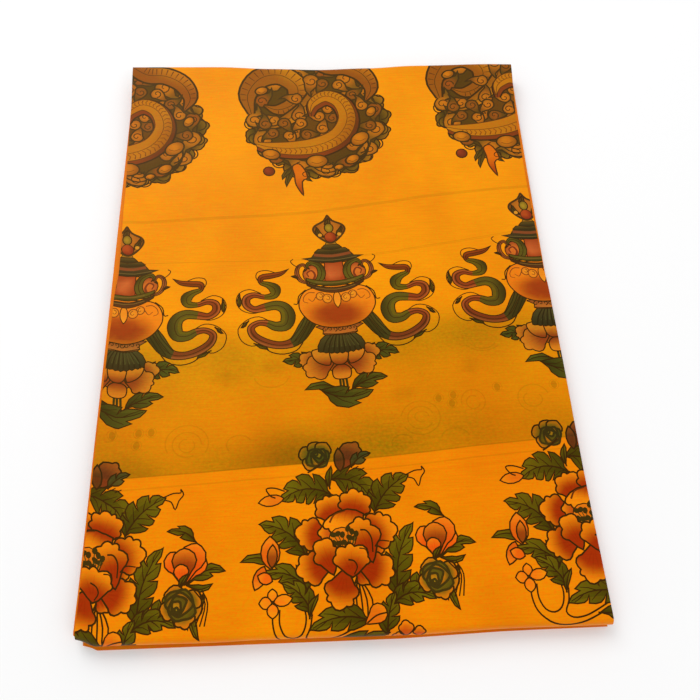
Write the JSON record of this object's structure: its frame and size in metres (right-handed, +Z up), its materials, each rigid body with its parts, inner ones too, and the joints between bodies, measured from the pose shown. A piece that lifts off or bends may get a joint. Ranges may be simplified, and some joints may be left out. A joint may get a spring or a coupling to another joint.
{
  "type": "khata scarf",
  "caption": "Long ceremonial satin scarf, folded back and forth into a flat rectangular stack of layers, for giving and hanging around the neck.",
  "frame": {"origin": "middle of the folded stack's footprint, on the surface it rests on", "axes": "+Z up from the resting surface, +Y along the long side towards the fold at the far end, +X to the right across the strip"},
  "size_m": [0.2214, 0.311, 0.012],
  "materials": {
    "satin": "orange woven satin with a printed pattern"
  },
  "bodies": {
    "root": {"khata": "satin"}
  },
  "joints": []
}
